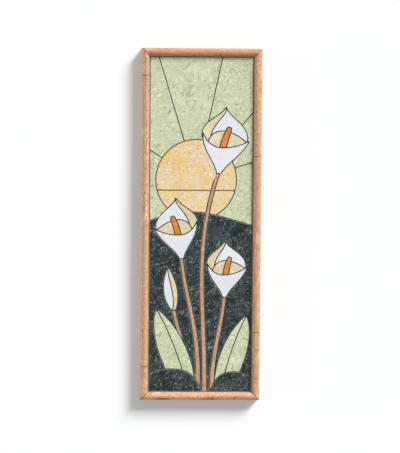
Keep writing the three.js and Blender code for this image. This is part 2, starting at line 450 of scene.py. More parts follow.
@dataclass(frozen=True)
class Pits:
    """Small open or filled pits.

    Attributes:
        colour: The colour in them.
        size: The spacing of the places that may hold one.
        radius: Their radius, as a share of the spacing.
        share: How many places hold one, from 0 to 1.
        strength: How much of the colour shows.
        depth: How deep they are.
        bends: How many bends their outline has in one spacing.
        full: The share of their radius that shows in full.
        pick: How sharply the places that hold one are picked.
    """

    colour: Colour
    size: float
    radius: float
    share: float
    strength: float
    depth: float = 0.0
    bends: float = 0.7
    full: float = 0.5
    pick: float = 0.01

    def mask(self, shader: Shader, at: Value) -> Value:
        """Where the pits are.

        Args:
            shader: The shader being built.
            at: Where, in metres.

        Returns:
            A share from 0 to 1.
        """
        sockets = {"Vector": at, "Scale": self.bends / self.size}
        wobble = shader.node("ShaderNodeTexNoise", {}, sockets, "Color")
        moved = shader.vector("MULTIPLY_ADD", {0: wobble, 1: (self.size,) * 3, 2: at})
        cells = shader.node("ShaderNodeTexVoronoi", {}, {"Vector": moved, "Scale": 1 / self.size})
        number = shader.node("ShaderNodeSeparateColor", {}, {0: cells.other("Color")})
        picked = number.ramp(self.share + self.pick, self.share - self.pick)
        return cells.ramp(self.radius, self.radius * self.full) * picked


@dataclass(frozen=True)
class Stone:
    """A polished stone.

    Attributes:
        ground: Its main colour.
        layers: Patches and veins, laid on in this order.
        arris: The colour of its sawn and ground edges; on the picture's stones it is also a painted highlight
            round the edge of the face.
        pits: Its pits, laid on last.
        arris_strength: How much of that colour shows.
        grout: The colour of the grout left on its lower edges.
        smear: How much of that colour shows.
        grain: How much its lightness varies from grain to grain.
        grain_size: The size of a grain.
        polish: The roughness of its polished face.
        sawn: The roughness of its sawn edges.
        gloss: The specular level.
        ripple: The height of the faint unevenness left by the polishing.
        ripple_size: The size of that unevenness.
        cloudy: How much the roughness of the polish varies.
        cloud_size: The size of that variation.
        pit_rough: How much rougher a pit is.
        arris_turn: The cosines to the face at which the arris begins and is full.
        grout_turn: The same for the grout.
    """

    ground: Colour
    layers: tuple[Union[Patch, Veins], ...]
    arris: Colour
    pits: tuple[Pits, ...] = ()
    arris_strength: float = 0.75
    grout: Colour = srgb(38, 32, 20)
    smear: float = 0.95
    grain: float = 0.25
    grain_size: float = 0.0045
    polish: float = 0.42
    sawn: float = 0.75
    gloss: float = 0.4
    ripple: float = 0.00003
    ripple_size: float = 0.004
    cloudy: float = 0.16
    cloud_size: float = 0.02
    pit_rough: float = 0.2
    arris_turn: tuple[float, float] = (0.995, 0.93)
    grout_turn: tuple[float, float] = (0.985, 0.9)

    def material(self, name: str, lay: Lay) -> bpy.types.Material:
        """The material of one piece.

        Args:
            name: The material's name.
            lay: How the piece was cut from the block.

        Returns:
            The material.
        """
        shader = Shader(name)
        place = shader.place()
        at = lay.at(shader, place)
        colour: object = self.ground
        for layer in self.layers:
            colour = shader.mix(layer.mask(shader, at), colour, layer.colour)
        relief = shader.noise(at, self.ripple_size, detail=3.0) * self.ripple
        hollow: Number = 0.0
        for pits in self.pits:
            mask = pits.mask(shader, at)
            colour = shader.mix(mask * pits.strength, colour, pits.colour)
            relief = relief - mask * pits.depth
            hollow = mask + hollow
        shade = shader.sway(at, self.grain_size, detail=4.0) * self.grain + lay.light
        # On the moulding the tint also holds painted light and shade for its side.
        colour = shader.multiplied(shader.multiplied(colour, lay.tint), shade)
        for mark in lay.marks:
            mask = mark.mask(shader, place)
            colour = shader.mix(mask * mark.strength, colour, mark.colour)
            relief = relief - mask * (mark.depth * mark.shaded)
        edge = self.edge(shader)
        # On the picture's stones the pale arris colour is partly the paler ground edge and partly a painted
        # highlight round the face.
        colour = shader.mix(edge * self.arris_strength, colour, self.arris)
        colour = shader.mix(self.grouted(shader, lay) * self.smear, colour, self.grout)
        roughness = self.polish + shader.sway(at, self.cloud_size) * self.cloudy
        roughness = roughness + edge * (self.sawn - self.polish) + hollow * self.pit_rough
        shader.finish(colour, roughness, relief, self.gloss)
        return shader.material

    def edge(self, shader: Shader) -> Value:
        """Where the surface turns away from the polished face: the ground arris and the sawn sides."""
        return shader.facing(FACING).ramp(*self.arris_turn)

    def grouted(self, shader: Shader, lay: Lay) -> Value:
        """Where grout is left: low on the arris and on the sawn sides."""
        return shader.facing(FACING).ramp(*self.grout_turn)


@dataclass(frozen=True)
class MouldingStone(Stone):
    """The moulding's stone, polished all round and sawn only on the back."""

    arris_turn: tuple[float, float] = (0.7, 0.9)
    grout_turn: tuple[float, float] = (0.22, 0.45)

    def edge(self, shader: Shader) -> Value:
        """Where the surface faces the wall."""
        return shader.facing(-FACING).ramp(*self.arris_turn)

    def grouted(self, shader: Shader, lay: Lay) -> Value:
        """Where glue is left: at the joint with the next length."""
        return abs(shader.facing(lay.ends)).ramp(*self.grout_turn)


@dataclass(frozen=True)
class Bedding:
    """Dark sanded grout and bedding, paler where it meets the moulding: stone dust there, and painted light
    that lifts the groove out of its shade.
    """

    ground: Colour = srgb(48, 41, 27)
    light: Colour = srgb(76, 67, 46)
    dusty: Colour = srgb(172, 152, 116)
    half_width: float = 0.1335
    half_height: float = 0.4345
    dust_edge: float = 0.0005
    grain: float = 0.0009
    grain_height: float = 0.0004
    grain_polish: float = 0.1
    cloud_size: float = 0.03
    cloud_height: float = 0.0006
    roughness: float = 0.92
    gloss: float = 0.2

    def material(self, name: str, lay: Lay) -> bpy.types.Material:
        """The material of the bedding.

        Args:
            name: The material's name.
            lay: Where its pattern lies.

        Returns:
            The material.
        """
        shader = Shader(name)
        place = shader.place()
        at = lay.at(shader, place)
        sand = shader.noise(at, self.grain, detail=3.0)
        cloud = shader.noise(at, self.cloud_size)
        colour = shader.mix(sand.ramp(0.45, 0.75) * 0.6 + cloud.ramp(0.5, 0.8) * 0.4, self.ground, self.light)
        split = shader.node("ShaderNodeSeparateXYZ", {}, {0: place})
        # Paler all round the groove at the moulding: stone dust and painted light over the groove's shade.
        across = abs(split).ramp(self.half_width - self.dust_edge, self.half_width + self.dust_edge)
        up = abs(split.other(2)).ramp(self.half_height - self.dust_edge, self.half_height + self.dust_edge)
        colour = shader.mix((across + up) * (0.4 + cloud), colour, self.dusty)
        relief = sand * self.grain_height + cloud * self.cloud_height
        shader.finish(colour, self.roughness - sand * self.grain_polish, relief, self.gloss)
        return shader.material


@dataclass(frozen=True)
class Plywood:
    """Raw plywood with its grain up the board."""

    early: Colour = srgb(214, 186, 140)
    late: Colour = srgb(178, 142, 96)
    pore: Colour = srgb(120, 88, 54)
    stain: Colour = srgb(150, 118, 78)
    stain_size: float = 0.12
    ring: float = 0.006
    ring_stretch: float = 0.22
    log_wave: float = 0.11
    log_depth: float = 0.35
    wobble: float = 0.02
    wobble_depth: float = 0.01
    fibre: float = 0.0015
    fibre_stretch: float = 0.045
    pore_size: float = 0.0006
    height: float = 0.0001
    roughness: float = 0.7
    gloss: float = 0.3

    def material(self, name: str, lay: Lay) -> bpy.types.Material:
        """The material of the board.

        Args:
            name: The material's name.
            lay: Where its grain lies.

        Returns:
            The material.
        """
        shader = Shader(name)
        at = lay.at(shader, shader.place())
        along = shader.scaled(at, (1.0, 1.0, self.fibre_stretch))
        broad = shader.noise(shader.scaled(at, (1.0, 1.0, self.ring_stretch)), self.log_wave, detail=1.0)
        depth = broad * self.log_depth + shader.noise(along, self.wobble) * self.wobble_depth
        rings = broad.math("PINGPONG", depth, self.ring) * (1 / self.ring)
        fibres = shader.noise(along, self.fibre, detail=3.0)
        colour = shader.mix(rings.ramp(0.35, 1.0) * 0.6 + fibres.ramp(0.4, 0.75) * 0.3, self.early, self.late)
        pores = shader.noise(along, self.pore_size).ramp(0.62, 0.72)
        colour = shader.mix(pores * 0.5, colour, self.pore)
        stains = shader.noise(at, self.stain_size, detail=3.0).ramp(0.55, 0.8)
        colour = shader.mix(stains * 0.25, colour, self.stain)
        relief = fibres * self.height - pores * self.height
        shader.finish(colour, self.roughness + fibres * 0.15, relief, self.gloss)
        return shader.material


FINISHES: dict[Slot, Union[Stone, Bedding, Plywood]] = {
    Slot.PALE_GREEN: Stone(
        ground=srgb(206, 211, 176),
        layers=(
            Patch(srgb(190, 198, 164), 0.05, 0.47, 0.8, 0.24, 4.0, 0.4),
            Patch(srgb(222, 225, 194), 0.03, 0.5, 0.8, 0.2, 4.0, 0.6),
            Patch(srgb(208, 206, 203), 0.022, 0.57, 0.6, 0.18, 3.0, 0.8),
            Patch(srgb(214, 222, 158), 0.013, 0.58, 0.55, 0.16, 3.0, 0.8),
            Patch(srgb(166, 175, 142), 0.011, 0.54, 0.75, 0.14, 4.0, 1.2, 0.6),
            Patch(srgb(232, 237, 202), 0.007, 0.56, 0.8, 0.1, 3.0, 1.0, 0.7),
            Patch(srgb(140, 150, 118), 0.006, 0.6, 0.75, 0.1, 3.0, 1.0, 0.6),
            Veins(srgb(165, 174, 140), 0.03, 0.014, 0.45, 0.5),
        ),
        pits=(Pits(srgb(128, 138, 104), 0.011, 0.2, 0.3, 0.85),),
        arris=srgb(232, 236, 208),
        grain=0.4,
    ),
    Slot.OCHRE: Stone(
        ground=srgb(237, 209, 152),
        layers=(
            Patch(srgb(236, 197, 110), 0.06, 0.47, 0.9, 0.16, 2.0, 0.4),
            Patch(srgb(238, 212, 178), 0.05, 0.5, 0.9, 0.12, 2.0, 0.5),
            Patch(srgb(240, 213, 112), 0.016, 0.57, 0.7, 0.1, 3.0, 0.4),
            Patch(srgb(228, 204, 202), 0.014, 0.58, 0.8, 0.1, 3.0, 0.6, 1.3),
            Patch(srgb(208, 171, 122), 0.007, 0.57, 0.65, 0.12, 3.0, 1.0),
            Patch(srgb(252, 236, 208), 0.007, 0.57, 0.8, 0.1, 3.0, 1.6, 0.5),
            Veins(srgb(206, 172, 128), 0.03, 0.012, 0.5, 0.5),
        ),
        pits=(Pits(srgb(158, 116, 84), 0.009, 0.24, 0.3, 0.85, 0.0002),),
        grout=srgb(62, 42, 22),
        grain=0.34,
        arris=srgb(246, 230, 196),
    ),
    Slot.DEEP_GREEN: Stone(
        ground=srgb(35, 44, 45),
        layers=(
            Patch(srgb(22, 30, 30), 0.04, 0.47, 0.9, 0.14, 3.0, 0.6),
            Patch(srgb(62, 66, 80), 0.035, 0.55, 0.6, 0.14, 3.0, 0.8),
            Patch(srgb(34, 66, 58), 0.025, 0.56, 0.6, 0.14, 3.0, 1.0),
            Patch(srgb(92, 109, 106), 0.011, 0.55, 0.85, 0.12, 4.0, 2.0, 0.7),
            Veins(srgb(104, 120, 118), 0.008, 0.026, 0.8, 0.46, 0.035, 1.4),
            Veins(srgb(116, 134, 126), 0.018, 0.012, 0.7, 0.48, 0.04, 1.6),
            Patch(srgb(152, 168, 164), 0.0075, 0.6, 0.95, 0.1, 3.0, 1.8, 0.5),
            Veins(srgb(214, 220, 212), 0.05, 0.005, 0.9, 0.6, 0.03, 0.8),
        ),
        pits=(Pits(srgb(160, 172, 166), 0.007, 0.22, 0.14, 0.8),),
        # The pale arris on this dark stone is partly a ground edge and partly a painted highlight along every
        # edge.
        arris=srgb(164, 182, 156),
        arris_strength=0.9,
        smear=0.0,
        grain=0.7,
        polish=0.34,
    ),
    Slot.WHITE: Stone(
        ground=srgb(232, 232, 238),
        layers=(
            Patch(srgb(224, 233, 232), 0.03, 0.5, 0.8, 0.14, 2.0, 0.6),
            Patch(srgb(238, 230, 234), 0.04, 0.54, 0.8, 0.14, 2.0, 0.4),
            Veins(srgb(204, 206, 214), 0.04, 0.012, 0.5, 0.52),
        ),
        arris=srgb(250, 250, 252),
        grain=0.06,
        polish=0.32,
    ),
    Slot.CREAM: Stone(
        ground=srgb(226, 208, 174),
        layers=(
            Patch(srgb(236, 222, 192), 0.02, 0.5, 0.8, 0.14, 2.0, 0.5),
            Patch(srgb(206, 188, 142), 0.014, 0.58, 0.7, 0.1, 2.0, 0.8),
            Veins(srgb(198, 172, 130), 0.02, 0.014, 0.4, 0.5),
        ),
        arris=srgb(240, 228, 204),
        polish=0.38,
    ),
    Slot.TAN: Stone(
        ground=srgb(196, 152, 120),
        layers=(
            Patch(srgb(216, 166, 146), 0.02, 0.5, 0.8, 0.14, 2.0, 0.3, 1.8),
            Patch(srgb(172, 128, 96), 0.012, 0.56, 0.8, 0.1, 3.0, 0.5, 1.8),
            Patch(srgb(222, 188, 158), 0.01, 0.62, 0.6, 0.08, 2.0, 0.5),
        ),
        arris=srgb(224, 190, 164),
    ),
    Slot.ORANGE: Stone(
        ground=srgb(214, 132, 66),
        layers=(
            Patch(srgb(232, 160, 88), 0.014, 0.52, 0.8, 0.12, 2.0, 0.4, 1.6),
            Patch(srgb(186, 102, 48), 0.01, 0.56, 0.8, 0.1, 2.0, 0.6, 1.6),
        ),
        arris=srgb(236, 176, 118),
        polish=0.36,
    ),
    Slot.MOULDING: MouldingStone(
        ground=srgb(204, 157, 122),
        layers=(
            Patch(srgb(212, 150, 126), 0.05, 0.46, 0.85, 0.2, 3.0, 0.5, 3.0),
            Patch(srgb(208, 164, 114), 0.045, 0.53, 0.6, 0.18, 3.0, 0.5, 3.0),
            Patch(srgb(228, 192, 166), 0.02, 0.56, 0.7, 0.14, 3.0, 0.6, 2.5),
            Patch(srgb(176, 142, 118), 0.03, 0.57, 0.65, 0.14, 3.0, 0.5, 3.0),
            Patch(srgb(158, 96, 68), 0.008, 0.6, 0.8, 0.1, 3.0, 0.8, 1.8),
            Patch(srgb(240, 206, 180), 0.006, 0.6, 0.7, 0.1, 3.0, 0.8, 1.5),
            Veins(srgb(150, 98, 70), 0.03, 0.01, 0.5, 0.53, 0.04, 0.8),
        ),
        pits=(
            Pits(srgb(128, 80, 54), 0.007, 0.24, 0.34, 0.85, 0.0003),
            Pits(srgb(244, 218, 194), 0.008, 0.24, 0.3, 0.8),
        ),
        arris=srgb(196, 168, 146),
        grout=srgb(92, 60, 34),
        grain=0.6,
        polish=0.4,
        gloss=0.5,
        ripple=0.00006,
    ),
    Slot.BEDDING: Bedding(),
    Slot.BOARD: Plywood(),
}


# Mesh building


def to_object(bm: bmesh.types.BMesh, name: str) -> bpy.types.Object:
    """An object at the origin that holds a finished mesh.

    Args:
        bm: The mesh, which is freed.
        name: The object's name.

    Returns:
        The object, linked to the scene.
    """
    mesh = bpy.data.meshes.new(name)
    bm.to_mesh(mesh)
    bm.free()
    made = bpy.data.objects.new(name, mesh)
    bpy.context.scene.collection.objects.link(made)
    return made


def block(low: Vector, high: Vector) -> bmesh.types.BMesh:
    """A plain block between two corners.

    Args:
        low: Its lowest corner.
        high: Its highest corner.

    Returns:
        The block.
    """
    bm = bmesh.new()
    bmesh.ops.create_cube(bm, size=1.0)
    bmesh.ops.scale(bm, verts=bm.verts[:], vec=high - low)
    bmesh.ops.translate(bm, verts=bm.verts[:], vec=(low + high) / 2)
    return bm


def round_edges(
    bm: bmesh.types.BMesh,
    edges: list[bmesh.types.BMEdge],
    width: float,
    steps: int,
    clamp: bool,
) -> None:
    """Rounds edges of a mesh.

    Args:
        bm: The mesh, which is changed.
        edges: Its edges.
        width: How wide the round is.
        steps: Facets across it.
        clamp: Whether it gets narrower where two rounds would meet.
    """
    bmesh.ops.bevel(
        bm,
        geom=edges,
        offset=width,
        affect="EDGES",
        segments=steps,
        profile=0.5,
        material=-1,
        clamp_overlap=clamp,
    )


def smooth_over(bm: bmesh.types.BMesh, sharpest: float) -> None:
    """Shades a mesh smooth but for its sharp edges.

    Args:
        bm: The mesh, which is changed.
        sharpest: The angle past which an edge is sharp.
    """
    for polygon in bm.faces:
        polygon.smooth = True
    for edge in bm.edges:
        if edge.is_manifold and edge.calc_face_angle() > sharpest:
            edge.smooth = False


def cut_away(piece: bpy.types.Object, cutter: bpy.types.Object) -> None:
    """Cuts one object out of another and removes the cutter.

    Args:
        piece: What is cut, whose mesh is replaced.
        cutter: What is cut out of it.
    """
    modifier = piece.modifiers.new("cut", "BOOLEAN")
    modifier.operation = "DIFFERENCE"
    modifier.solver = "MANIFOLD"
    modifier.object = cutter
    graph = bpy.context.evaluated_depsgraph_get()
    whole = piece.data
    piece.data = bpy.data.meshes.new_from_object(piece.evaluated_get(graph))
    piece.data.name = whole.name
    piece.modifiers.clear()
    bpy.data.meshes.remove(whole)
    mesh = cutter.data
    bpy.data.objects.remove(cutter)
    bpy.data.meshes.remove(mesh)


@dataclass
class Dressing:
    """Puts finished pieces into the frame, each cut from a place of its own in its block."""

    seed: int = 7
    spread: float = 3.0
    uneven: float = 0.03
    draws: random.Random = field(init=False)

    def __post_init__(self) -> None:
        """Seeds the draws."""
        self.draws = random.Random(self.seed)

    def lay(self, turn: float = 0.0, **wear: object) -> Lay:
        """How the next piece is cut from its block, turned about Y, with its tint, ends and marks."""
        shift = Vector(self.draws.uniform(-self.spread, self.spread) for _ in range(3))
        return Lay(shift, turn, 1.0 + self.draws.uniform(-self.uneven, self.uneven), **wear)

    def place(self, piece: bpy.types.Object, slot: Slot, lay: Lay, *nodes: str) -> None:
        """Gives a piece its material and puts it in place of its CAD nodes.

        Args:
            piece: The piece.
            slot: Its material slot.
            lay: How it was cut from its block.
            nodes: The CAD nodes that it stands for.
        """
        piece.data.materials.clear()
        piece.data.materials.append(FINISHES[slot].material(piece.name, lay))
        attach(piece, ROOT)
        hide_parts(*nodes)
        log.info("%s: %d faces", piece.name, len(piece.data.polygons))


# The stones of the picture


@dataclass
class Picture:
    """The sawn stones.

    Attributes:
        dressing: What finishes the pieces.
        merge: Corners of a CAD solid closer than this are one.
        least_side: Sides of an outline shorter than this are taken out.
        flat: Faces and edges that turn less than this are one.
        sharpest_bend: An outline that turns more than this has a corner there.
        shortest_bend: A side shorter than this is straight.
        longest_bend: A side longer than this is straight.
        cuts: Points added along each side of a curve.
        sharpest_tip: A corner sharper than this has lost its tip.
        tip: How wide a stone is left where its tip came off.
        tip_reach: How far from a corner the outline is looked at for that.
        arris: The width of the ground edge.
        arris_steps: Facets across it.
        arris_try: An arris that doesn't fit is made this much of its width, until it does.
        lean: How far a face may lean from flat or upright; past it, a bevel has folded over itself.
        level: The same for a face that counts as flat.
        proud: How much lower than the highest a stone may lie.
    """

    dressing: Dressing
    merge: float = 0.00002
    least_side: float = 0.0008
    flat: float = math.radians(0.3)
    sharpest_bend: float = math.radians(38)
    shortest_bend: float = 0.002
    longest_bend: float = 0.022
    cuts: int = 3
    sharpest_tip: float = math.radians(62)
    tip: float = 0.0014
    tip_reach: float = 0.008
    arris: float = 0.0006
    arris_steps: int = 3
    arris_try: float = 0.8
    lean: float = 0.01
    level: float = 0.0001
    proud: float = 0.00015

    def build(self) -> list[str]:
        """Makes every stone of the picture.

        Returns:
            The names of the CAD nodes that are stones.
        """
        layers = (Slot.MOULDING, Slot.BOARD, Slot.BEDDING)
        nodes = [node for node, slot in SLOT_OF.items() if slot not in layers]
        for node in nodes:
            turn = self.dressing.draws.uniform(-math.pi, math.pi)
            piece = to_object(self.stone(node), f"{node}_stone")
            self.dressing.place(piece, SLOT_OF[node], self.dressing.lay(turn), node)
        return nodes

    def outline(self, node: str) -> bmesh.types.BMesh:
        """The back of a CAD stone as one face, its curves made smooth and its thin tips taken off.

        Args:
            node: The CAD node.

        Returns:
            A mesh of that one face.
        """
        bm = bmesh.new()
        bm.from_mesh(frame["nodes"][node].data)
        bmesh.ops.remove_doubles(bm, verts=bm.verts[:], dist=self.merge)
        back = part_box(node)[1].y - self.merge
        front = [face for face in bm.faces if any(vert.co.y < back for vert in face.verts)]
        bmesh.ops.delete(bm, geom=front, context="FACES")
        bmesh.ops.dissolve_limit(bm, angle_limit=self.flat, verts=bm.verts[:], edges=bm.edges[:])
        bmesh.ops.remove_doubles(bm, verts=bm.verts[:], dist=self.least_side)
        self.smooth_rim(bm)
        self.blunt(bm)
        return bm

    def smooth_rim(self, bm: bmesh.types.BMesh) -> None:
        """Adds points along the curved sides of a one-face mesh and moves them onto the curve.

        Args:
            bm: The mesh, which is changed.
        """
        face = bm.faces[:][0]
        corners = [vert.co.copy() for vert in face.verts]
        count = len(corners)
        sides = [corners[(i + 1) % count] - corners[i] for i in range(count)]
        tangents = []
        for i, after in enumerate(sides):
            before = sides[i - 1]
            bends = before.angle(after) < self.sharpest_bend
            short = max(before.length, after.length) < self.longest_bend
            circle = before.normalized() * after.length + after.normalized() * before.length
            tangents.append(circle.normalized() if bends and short else None)
        edges = [loop.edge for loop in face.loops]
        for i, edge in enumerate(edges):
            self.smooth_side(bm, edge, corners[i], sides[i], tangents[i], tangents[(i + 1) % count])

    def smooth_side(
        self,
        bm: bmesh.types.BMesh,
        edge: bmesh.types.BMEdge,
        start: Vector,
        side: Vector,
        leaving: Vector | None,
        arriving: Vector | None,
    ) -> None:
        """Bends one side of an outline.

        Args:
            bm: The mesh, which is changed.
            edge: The side's edge.
            start: Where the side starts.
            side: From its start to its end.
            leaving: The curve's direction at the start, or None at a corner.
            arriving: The curve's direction at the end, or None at a corner.
        """
        if side.length < self.shortest_bend or (leaving is None and arriving is None):
            return
        along = side.normalized()
        leaving = leaving or (2 * along * along.dot(arriving) - arriving)
        arriving = arriving or (2 * along * along.dot(leaving) - leaving)
        cut = bmesh.ops.subdivide_edges(bm, edges=[edge], cuts=self.cuts)
        for vert in cut["geom_inner"]:
            if isinstance(vert, bmesh.types.BMVert):
                t = (vert.co - start).dot(side) / side.length_squared
                bow = t * (1 - t) ** 2 * leaving - t * t * (1 - t) * arriving
                vert.co = start + side * (t * t * (3 - 2 * t)) + bow * side.length

    def tips(self, bm: bmesh.types.BMesh) -> list[bmesh.types.BMLoop]:
        """The corners of a one-face mesh that are too sharp to saw."""
        loops = bm.faces[:][0].loops
        return [loop for loop in loops if loop.is_convex and loop.calc_angle() < self.sharpest_tip]

    def blunt(self, bm: bmesh.types.BMesh) -> None:
        """Takes sharp tips off an outline, back to where it is wide enough for an arris on both sides.

        Args:
            bm: The mesh of one face, which is changed.
        """
        for place in [loop.vert.co.copy() for loop in self.tips(bm)]:
            for edge in bm.edges[:]:
                parts = math.ceil(edge.calc_length() / (self.tip / 2))
                if parts > 1 and min((vert.co - place).length for vert in edge.verts) < self.tip_reach:
                    bmesh.ops.subdivide_edges(bm, edges=[edge], cuts=parts - 1)
        ring = [loop.vert for loop in bm.faces[:][0].loops]
        lost = []
        for tip in [ring.index(loop.vert) for loop in self.tips(bm)]:
            turned = ring[tip:] + ring[:tip]
            after, before = 1, -1
            while (turned[after].co - turned[before].co).length < self.tip:
                if (turned[after].co - turned[0].co).length < (turned[before].co - turned[0].co).length:
                    after += 1
                else:
                    before -= 1
            lost += turned[:after] + turned[len(turned) + before + 1 :]
        bmesh.ops.dissolve_verts(bm, verts=lost)

    def prism(self, node: str, back: float, face: float) -> bmesh.types.BMesh:
        """A stone's outline as a slab.

        Args:
            node: The CAD node.
            back: The y of its back.
            face: The y of its face.

        Returns:
            The slab, closed and facing outwards.
        """
        bm = self.outline(node)
        for vert in bm.verts:
            vert.co.y = back
        bmesh.ops.solidify(bm, geom=bm.faces[:], thickness=back - face)
        lowest = min(vert.co.y for vert in bm.verts)
        bmesh.ops.translate(bm, verts=bm.verts[:], vec=(0, face - lowest, 0))
        bmesh.ops.recalc_face_normals(bm, faces=bm.faces[:])
        return bm

    def ground(self, node: str, back: float, face: float, arris: float) -> bmesh.types.BMesh:
        """A slab with an arris round its face.

        Args:
            node: The CAD node.
            back: The y of its back.
            face: The y of its face.
            arris: The width of the arris.

        Returns:
            The slab.
        """
        bm = self.prism(node, back, face)
        rim = [edge for edge in bm.edges if all(abs(vert.co.y - face) < self.merge for vert in edge.verts)]
        round_edges(bm, rim, arris, self.arris_steps, clamp=False)
        return bm

    def folded(self, bm: bmesh.types.BMesh) -> bool:
        """Whether the arris of a stone has folded over itself, so that part of it faces backwards."""
        return any(self.lean < polygon.normal.y < 1 - self.lean for polygon in bm.faces)

    def stone(self, node: str) -> bmesh.types.BMesh:
        """One stone, with as wide an arris as its narrowest place takes.

        Args:
            node: The CAD node.

        Returns:
            The stone.
        """
        low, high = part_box(node)
        face = low.y + self.dressing.draws.uniform(0, self.proud)
        arris = self.arris
        bm = self.ground(node, high.y, face, arris)
        while self.folded(bm) and arris > self.merge:
            bm.free()
            arris *= self.arris_try
            bm = self.ground(node, high.y, face, arris)
        smooth_over(bm, self.sharpest_bend)
        for polygon in bm.faces:
            if abs(polygon.normal.y) > 1 - self.level:
                polygon.smooth = False
                for edge in polygon.edges:
                    edge.smooth = False
        return bm

    def cutter(self, nodes: list[str], back: float, face: float) -> bpy.types.Object:
        """All the stones as one object, to cut out of what lies between them.

        Args:
            nodes: The CAD nodes that are stones.
            back: The y of their backs.
            face: A y past the surface that they cut.

        Returns:
            The object.
        """
        joined = bmesh.new()
        for node in nodes:
            mesh = bpy.data.meshes.new(node)
            slab = self.prism(node, back, face)
            slab.to_mesh(mesh)
            slab.free()
            joined.from_mesh(mesh)
            bpy.data.meshes.remove(mesh)
        return to_object(joined, "stones")


@dataclass
class Bed:
    """The bedding under the stones and the grout that nearly fills the joints between them.

    Attributes:
        dressing: What finishes the pieces.
        node: The CAD node of the bedding.
        below_face: How far the grout lies below the stones' face.
        clearance: How far the cut runs past the grout.
        cells: How many cells its surface has across and up.
    """

    dressing: Dressing
    node: str = "setting_bed"
    below_face: float = 0.0011
    clearance: float = 0.002
    cells: tuple[int, int] = (14, 44)

    def build(self, picture: Picture, stones: list[str]) -> None:
        """Makes the bedding.

        Args:
            picture: The picture whose stones lie in it.
            stones: The CAD nodes of the stones.
        """
        low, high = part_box(self.node)
        stone_low, stone_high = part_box(stones[0])
        surface = stone_low.y + self.below_face
        bm = block(Vector((low.x, surface, low.z)), high)
        for axis, cells in zip("xz", self.cells):
            along = [edge for edge in bm.edges if getattr(edge.verts[0].co - edge.verts[1].co, axis)]
            bmesh.ops.subdivide_edges(bm, edges=along, cuts=cells - 1, use_grid_fill=True)
        piece = to_object(bm, "grout_and_bedding")
        cut_away(piece, picture.cutter(stones, stone_high.y, surface - self.clearance))
        self.dressing.place(piece, Slot.BEDDING, Lay(), self.node)


# The moulding


class Side(Enum):
    """The four sides of the panel, by how far the foot is turned about Y to reach each."""

    FOOT = 0.0
    LEFT = math.pi / 2
    HEAD = math.pi
    RIGHT = -math.pi / 2


# Each side's moulding colour: partly its own length's stone, partly painted light and shade, lighter at the
# foot and darker and warmer at the head.
SIDE_TINTS_AND_SHADE = {
    Side.FOOT: (1.13, 1.1, 1.13, 1.0),
    Side.LEFT: (0.97, 1.01, 0.94, 1.0),
    Side.HEAD: (0.98, 0.89, 0.81, 1.0),
    Side.RIGHT: (1.01, 0.98, 0.93, 1.0),
}


# How deep in the moulding its marks lie and how far they reach each way, in millimetres, so that they go
# through its front, and how much of their colour shows
MARK_Y = -26
MARK_REACH_Y = 24
CHIP_STRENGTH = 0.9
STAIN_STRENGTH = 0.7


def scar(x: float, z: float, long: float, wide: float, degrees: float, colour: Colour, depth: float) -> Mark:
    """A mark on the moulding, seen from the front.

    Args:
        x: The x of its middle in millimetres.
        z: The z of its middle in millimetres.
        long: How far it reaches along, in millimetres.
        wide: How far it reaches across, in millimetres.
        degrees: How far it rises to the right.
        colour: Its colour.
        depth: How deep it is in millimetres, 0 for a stain.

    Returns:
        The mark.
    """
    middle = Vector((x, MARK_Y, z)) / MM_PER_M
    reach = Vector((long, MARK_REACH_Y, wide)) / MM_PER_M
    strength = CHIP_STRENGTH if depth else STAIN_STRENGTH
    return Mark(middle, reach, -math.radians(degrees), colour, strength, depth / MM_PER_M)


SCARS = {
    "frame_foot": (
        scar(24, -453.4, 30, 3, 0, srgb(136, 98, 60), 0),
        scar(110, -446, 15, 7, 0, srgb(196, 152, 134), 0),
        scar(48, -447, 14, 1.1, 3, srgb(186, 108, 84), 0),
        scar(-98, -453.6, 29, 3.2, 0, srgb(142, 70, 54), 0.8),
        scar(-68, -450.6, 6.5, 1.2, -30, srgb(132, 80, 58), 0.5),
        scar(32.7, -451, 5.5, 1.4, 44, srgb(112, 70, 44), 0.7),
        scar(91.4, -450, 7, 1.9, 48, srgb(96, 56, 36), 1.2),
        scar(-142, -456, 9, 2, 0, srgb(92, 74, 44), 0.6),
    ),
    "frame_head": (
        scar(47, 440, 1.2, 4, 0, srgb(110, 58, 34), 0.8),
        scar(86, 441, 3, 2, 20, srgb(246, 196, 160), 0),
        scar(74, 440.5, 9, 2, 0, srgb(214, 146, 112), 0),
    ),
    "frame_left_lower": (
        scar(-148, -445, 3, 2.4, 45, srgb(244, 214, 194), 0.4),
        scar(-153, -454, 4, 1.6, 45, srgb(84, 54, 28), 0.8),
    ),
    "frame_left_upper": (scar(-150, 388, 5, 4, 0, srgb(186, 168, 92), 0),),
}


